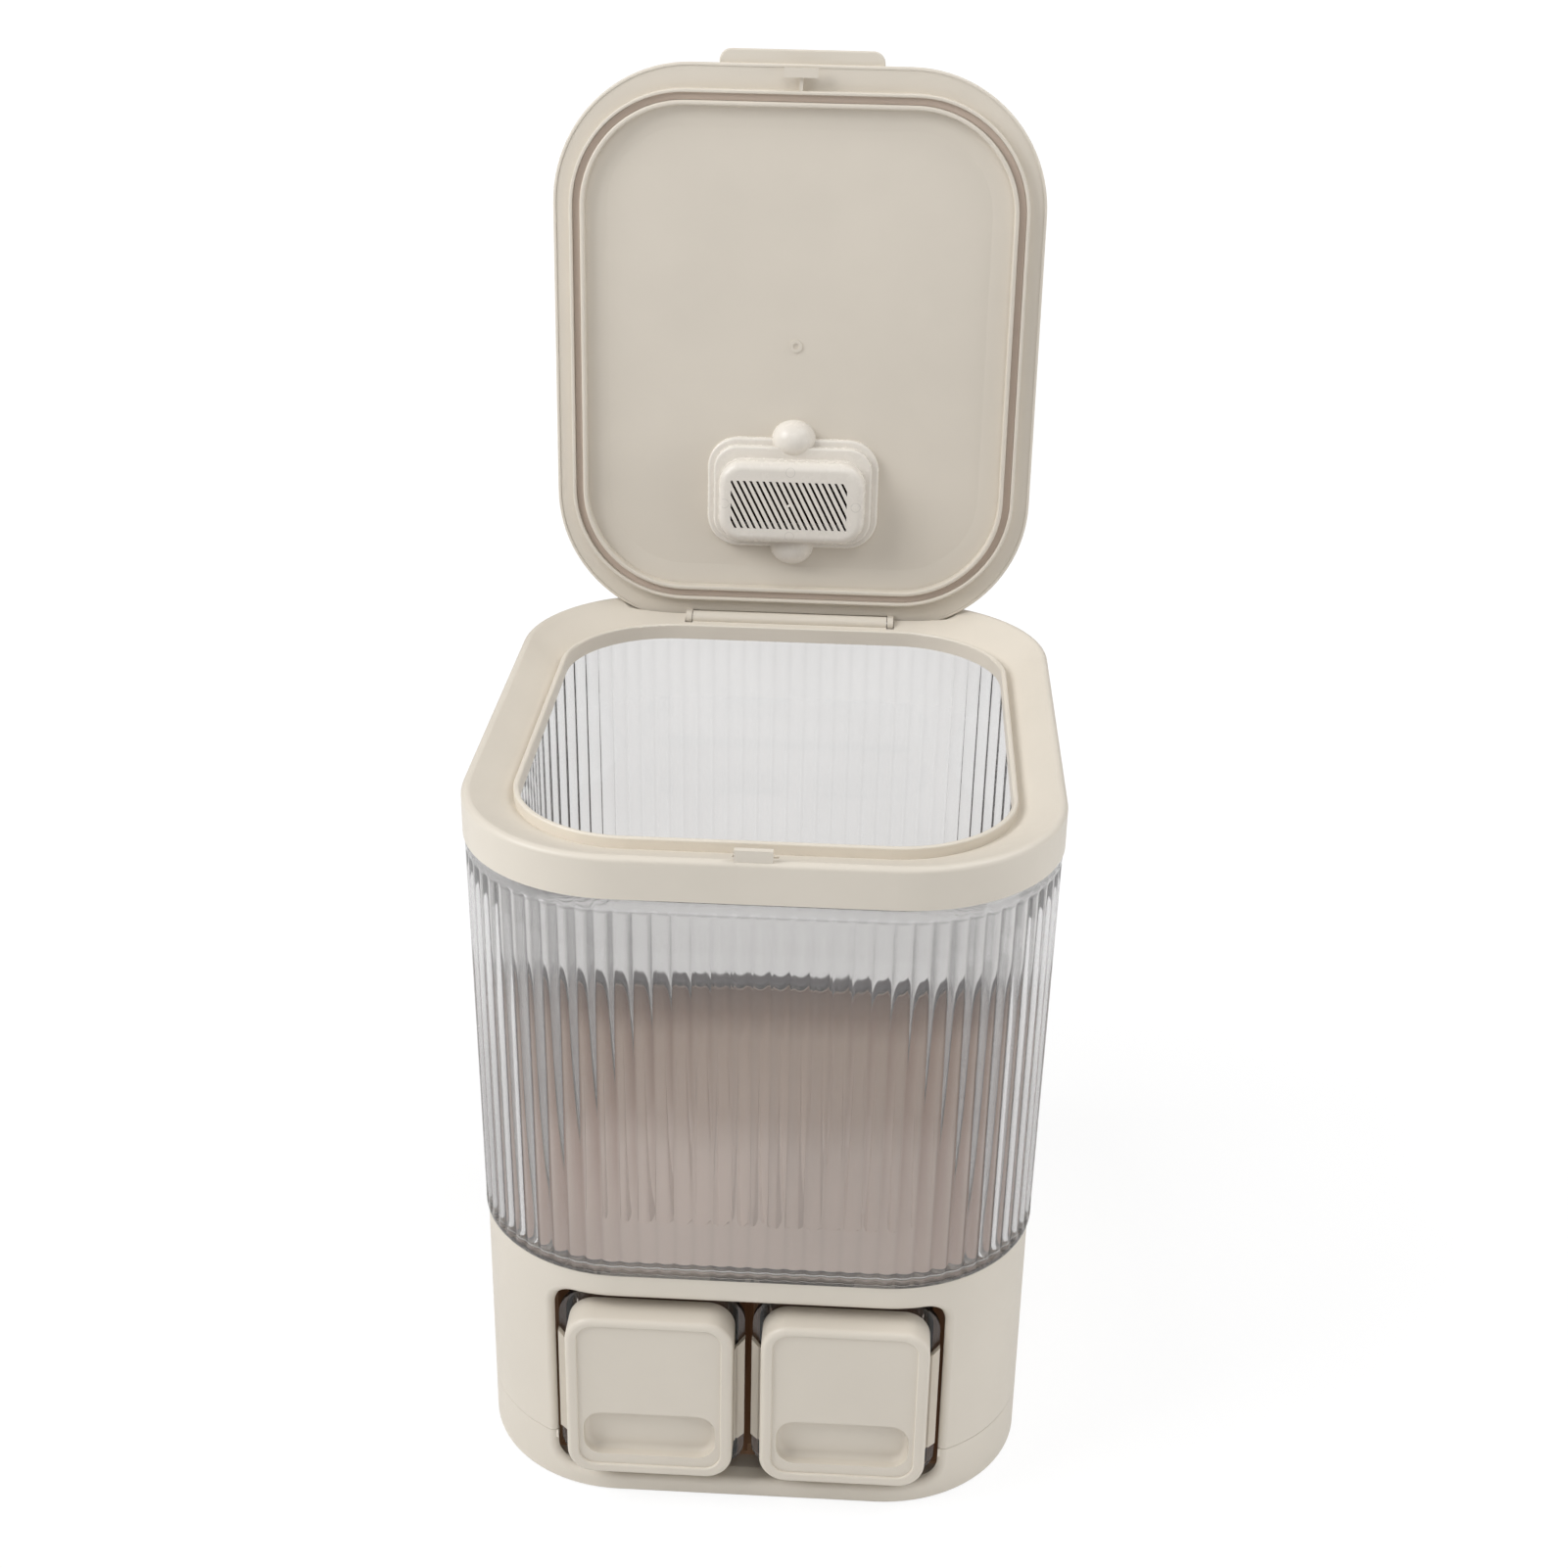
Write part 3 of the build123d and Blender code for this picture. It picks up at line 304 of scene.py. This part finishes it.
MOULDED = {
    "base_plastic": dict(colour=CREAM, rough=0.46),
    "ring_plastic": dict(colour=CREAM, rough=0.42),
    "lid_plastic": dict(colour=CREAM, rough=0.44),
    "panel_plastic": dict(colour=CREAM_PANEL, rough=0.5),
    "front_plastic": dict(colour=CREAM_PANEL, rough=0.48),
    # painted shade and light: the inner parts wear a darkened brown cream, the chassis also a faint
    # glow
    "chassis_plastic": dict(colour=CREAM_PAINTED_SHADE, rough=0.5, painted_glow=PAINTED_GLOW),
    "shutter_plastic": dict(colour=CREAM_PAINTED_SHADE, rough=0.5),
    "desiccant_plastic": dict(colour=CREAM_LIGHT, rough=0.26, relief=0.02, specular=0.35,
                              paint=slot_shade_and_marks),
    "floor_plastic": dict(colour=WHITE, rough=0.5, paint=floor_painted_shade),
    "gasket_rubber": dict(colour=TAUPE, rough=0.62, relief=0.12),
    "seal_rubber": dict(colour=TAUPE, rough=0.66, relief=0.12),
    "foot_rubber": dict(colour=RUBBER, rough=0.75, relief=0.2),
    "screw_steel": dict(colour=STEEL, rough=0.35, metallic=1.0),
    "pin_steel": dict(colour=STEEL, rough=0.25, metallic=1.0),
}
CLEARS = {
    "clear_plastic": dict(colour=CLEAR, rough=0.04, veil=0.04, painted_dark=CLEAR_PAINTED_DARK),
    "cup_plastic": dict(colour=CUP_CLEAR, rough=0.03, veil=0.01),
}
MATERIALS = {name: moulded(name, **look) for name, look in MOULDED.items()}
MATERIALS.update((name, clear(name, **look)) for name, look in CLEARS.items())
SLOT_OF = {part["node"]: part["material_slot"] for part in frame["record"]["subparts"]}


def dress(obj, slot):
    obj.data.materials.clear()
    obj.data.materials.append(MATERIALS[slot])


for name, obj in nodes.items():
    dress(obj, SLOT_OF[name])


# ---- outlines and lofts, in millimetres ----
def outline(width, depth, radius, count):
    """Points and outward directions at equal steps round a rounded rectangle.

    The walk starts at the front middle, where y is least, and goes by the right side.
    """
    flat_x, flat_y, arc = width - 2 * radius, depth - 2 * radius, math.pi * radius / 2
    legs = [flat_x / 2, arc, flat_y, arc, flat_x, arc, flat_y, arc, flat_x / 2]
    total = sum(legs)
    found = []
    for i in range(count):
        run, leg = total * i / count, 0
        while leg < len(legs) - 1 and run > legs[leg]:
            run -= legs[leg]
            leg += 1
        turns, in_corner = (leg + 1) // 2, leg % 2 == 1
        heading = math.radians(90 * (turns - 1 + run / arc if in_corner else turns))
        nx, ny = math.sin(heading), -math.cos(heading)
        if in_corner:
            side_x = 1 if turns in (1, 2) else -1
            side_y = -1 if turns in (1, 4) else 1
            x = side_x * (width / 2 - radius) + radius * nx
            y = side_y * (depth / 2 - radius) + radius * ny
        elif turns in (0, 4):
            x, y = run - (flat_x / 2 if turns == 4 else 0.0), -depth / 2
        elif turns == 1:
            x, y = width / 2, run - flat_y / 2
        elif turns == 2:
            x, y = flat_x / 2 - run, depth / 2
        else:
            x, y = -width / 2, flat_y / 2 - run
        found.append((x, y, nx, ny))
    return found


def add_object(name, data):
    obj = bpy.data.objects.new(name, data)
    bpy.context.scene.collection.objects.link(obj)
    return obj


def ring_loft(name, rows):
    """Smooth mesh through closed rows with the same count of points. The last joins the first."""
    count = len(rows[0])
    faces = []
    for r in range(len(rows)):
        low, high = r * count, (r + 1) % len(rows) * count
        for i in range(count):
            j = (i + 1) % count
            faces.append((low + i, low + j, high + j, high + i))
    mesh = bpy.data.meshes.new(name)
    mesh.from_pydata([scaled(point, MM) for row in rows for point in row], [], faces)
    mesh.validate()
    mesh.shade_smooth()
    return add_object(name, mesh)


# ---- clear bin body, in millimetres ----
BODY_Z0, BODY_Z1 = 118.9, 302.0
# width, depth and corner radius
BODY_LOW, BODY_HIGH = (244.5, 290.7, 66.25), (248.6, 294.8, 68.3)
COLLAR, COLLAR_INSIDE = (244.6, 290.8, 66.3), (240.2, 286.4, 64.1)
FLUTES, STEPS = 124, 10
FLUTE_DEPTH = 1.05
FLUTE_TOP_Z = 295.8

# height, distance in from the body's outline, share of the flutes' depth
OUTER_ROWS = (
    (BODY_Z0, 0.9, 0.0), (119.1, 0.35, 0.0), (119.6, 0.05, 0.0), (120.4, 0.0, 0.0),
    (121.0, 0.0, 0.08), (121.8, 0.0, 0.4), (122.8, 0.0, 0.8), (124.0, 0.0, 1.0),
    (128.2, 0.0, 1.0), (130.0, 0.0, 1.0), (160.0, 0.0, 1.0), (200.0, 0.0, 1.0),
    (240.0, 0.0, 1.0), (280.0, 0.0, 1.0), (294.8, 0.0, 1.0), (FLUTE_TOP_Z, 0.0, 0.75),
    (296.6, 0.0, 0.25), (297.2, 0.0, 0.0), (301.6, 0.0, 0.0), (301.9, 0.25, 0.0),
)
COLLAR_ROWS = ((COLLAR, 302.0), (COLLAR, 307.0), (COLLAR_INSIDE, 307.0), (COLLAR_INSIDE, 300.0))
INNER_ROWS = (
    (297.0, 2.6, 0.0), (240.0, 2.6, 0.0), (180.0, 2.6, 0.0), (130.0, 2.6, 0.0),
    (128.3, 2.6, 0.0), (124.0, 2.6, 0.0), (122.4, 3.0, 0.0), (121.7, 3.9, 0.0),
    (121.5, 5.2, 0.0), (121.5, 7.4, 0.0), (BODY_Z0, 7.4, 0.0),
)

# painted shade and dark refraction on the clear body: 0 is the clear colour, 1 the dark one
FOOT_TOP_Z, FOOT_DARK = 121.3, 0.69     # the foot, dark all round
BAND_TOP_Z = 128.4                      # the band above it, dark at the back
REAR_LOW = (70, 125)
FLUTE_TOP_DARK = 0.45                   # the line where the flutes end, at the front
REAR_HIGH = (60, 120)
MIDDLE = (60, 112)
GROOVE_SOFT, GROOVE_SOFT_POWER = 0.10, 3
GROOVE_LINE, GROOVE_LINE_POWER = 0.75, 7
LEFT_DARK, RIGHT_DARK = 0.36, 0.20      # painted shade at the sides, the left darker, up to where it fades
SIDE = (88, 118)
SIDE_FADE_Z = (160, 270)


def across_flute(i):
    """Place of a point across its flute: -1 and 1 in the grooves, 0 on the crest."""
    return 2 * (i % STEPS) / STEPS - 1


def body_row(z, inward, flute):
    share = min(max((z - BODY_Z0) / (BODY_Z1 - BODY_Z0), 0), 1)
    size = (a + (b - a) * share for a, b in zip(BODY_LOW, BODY_HIGH))
    row = []
    for i, (x, y, nx, ny) in enumerate(outline(*size, FLUTES * STEPS)):
        cut = inward + flute * FLUTE_DEPTH * across_flute(i) ** 2
        row.append((x - nx * cut, y - ny * cut, z))
    return row


def plain_row(size, z):
    return [(x, y, z) for x, y, nx, ny in outline(*size, FLUTES * STEPS)]


def ease(value, limits):
    """Goes from 0 at the first limit to 1 at the second, with soft ends."""
    start, stop = limits
    share = min(max((value - start) / (stop - start), 0.0), 1.0)
    return share * share * (3 - 2 * share)


def body_painted_shade(point, i, flute):
    """How dark the painted shade and refraction make the clear body at a place."""
    x, y, z = point
    if z < FOOT_TOP_Z:
        return FOOT_DARK + (1 - FOOT_DARK) * ease(y, REAR_LOW)
    if z < BAND_TOP_Z and y > 0:
        return ease(y, REAR_LOW)
    if z == FLUTE_TOP_Z and y < 0:
        return FLUTE_TOP_DARK
    rear = ease(y, REAR_HIGH)
    groove = 0.0
    if flute == 1.0:
        edge = abs(across_flute(i))
        line = GROOVE_LINE * min(1 - rear, ease(abs(x), MIDDLE))
        groove = GROOVE_SOFT * edge ** GROOVE_SOFT_POWER + line * edge ** GROOVE_LINE_POWER
    side = (LEFT_DARK if x < 0 else RIGHT_DARK) * ease(abs(x), SIDE) * (1 - rear)
    return min(groove + side * (1 - ease(z, SIDE_FADE_Z)), 1.0)


def build_body():
    rows = [body_row(*row) for row in OUTER_ROWS]
    rows += [plain_row(*row) for row in COLLAR_ROWS]
    rows += [body_row(*row) for row in INNER_ROWS]
    flutes = [row[2] for row in OUTER_ROWS] + [0.0] * (len(COLLAR_ROWS) + len(INNER_ROWS))
    body = ring_loft("clear_bin_body", rows)
    painted_darkness = body.data.attributes.new("painted_darkness", "FLOAT", "POINT")
    for r, row in enumerate(rows):
        for i, point in enumerate(row):
            painted_darkness.data[r * len(row) + i].value = body_painted_shade(point, i, flutes[r])
    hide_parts("bin_body")
    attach(body, "bin")
    dress(body, "clear_plastic")


build_body()

# ---- ground and surround ----
GROUND_SIZE, GROUND_CUTS = 14, 8
GROUND_COLOUR = (0.93, 0.93, 0.93)
GROUND_SHINE = 1.06
GROUND_OWN_WHITE = 0.8                  # share near the object, 1 far from it
GROUND_NEAR, GROUND_FAR = 0.3, 0.9
WORLD_LIGHT = 0.24
WORLD_WHITE = 1.05


def ground_material():
    """White ground: it shows the object's shadow and is washed out to white around it."""
    material, tree, coords = new_material("ground_white")
    ground = node(tree, "BsdfDiffuse", {"Color": rgba(GROUND_COLOUR)})
    shine = node(tree, "Emission", {"Strength": GROUND_SHINE})
    path = node(tree, "LightPath").outputs
    seen = maths(tree, "MAXIMUM", path["Is Camera Ray"], path["Is Transmission Ray"])
    white = passage(tree, length(tree, coords), GROUND_NEAR, GROUND_FAR, GROUND_OWN_WHITE)
    surface = mix_shaders(tree, maths(tree, "MULTIPLY", seen, white), ground.outputs["BSDF"],
                          shine.outputs["Emission"])
    node(tree, "OutputMaterial", {"Surface": surface})
    return material


def build_world():
    """Even light from all round, which the camera itself sees as white."""
    world = bpy.data.worlds.new("surround")
    bpy.context.scene.world = world
    world.use_nodes = True
    tree = world.node_tree
    tree.nodes.clear()
    lighting, white = (
        node(tree, "Background", {"Color": rgba(WHITE), "Strength": strength}).outputs["Background"]
        for strength in (WORLD_LIGHT, WORLD_WHITE))
    seen = node(tree, "LightPath").outputs["Is Camera Ray"]
    node(tree, "OutputWorld", {"Surface": mix_shaders(tree, seen, lighting, white)})


bpy.ops.mesh.primitive_grid_add(x_subdivisions=GROUND_CUTS, y_subdivisions=GROUND_CUTS,
                                size=GROUND_SIZE)
ground = bpy.context.object
ground.name = "ground"
ground.data.materials.append(ground_material())
build_world()

# ---- lamps: name, place, what it points at, side of the square, power ----
LAMPS = (
    ("left", (-1.5, -0.6, 1.6), (0, 0, 0.25), 1.2, 31.0),
    ("right_above", (1.1, 0.2, 1.9), (0, 0, 0.3), 1.2, 15.0),
    ("front", (0.2, -1.5, 1.9), (0, 0, 0.3), 1.2, 7.5),
    ("right", (1.9, -0.6, 0.5), (0, 0, 0.25), 1.0, 6.5),
)
for name, place, target, side, power in LAMPS:
    lamp = bpy.data.lights.new(name, "AREA")
    lamp.shape = "SQUARE"
    lamp.size = side
    lamp.energy = power
    holder = add_object(name, lamp)
    holder.location = place
    aim = Vector(target) - Vector(place)
    holder.rotation_euler = aim.to_track_quat("-Z", "Y").to_euler()

# ---- camera, at the photograph's viewing angle ----
CAMERA_PLACE = (0.04544, -0.90673, 0.70938)
YAW, PITCH, ROLL = (math.radians(angle) for angle in (2.579, 25.058, 1.088))
LENS, SENSOR = 50.979, 36.0

camera = add_object("camera", bpy.data.cameras.new("camera"))
camera.data.sensor_width = SENSOR
camera.data.lens = LENS
bpy.context.scene.camera = camera
forward = Vector((-math.sin(YAW) * math.cos(PITCH), math.cos(YAW) * math.cos(PITCH),
                  -math.sin(PITCH)))
level = Vector((math.cos(YAW), math.sin(YAW), 0))
upward = level.cross(forward)
right = math.cos(ROLL) * level + math.sin(ROLL) * upward
up = -math.sin(ROLL) * level + math.cos(ROLL) * upward
turn = Matrix((right, up, -forward)).transposed().to_4x4()
camera.matrix_world = Matrix.Translation(CAMERA_PLACE) @ turn

bpy.context.scene.view_settings.view_transform = "Standard"
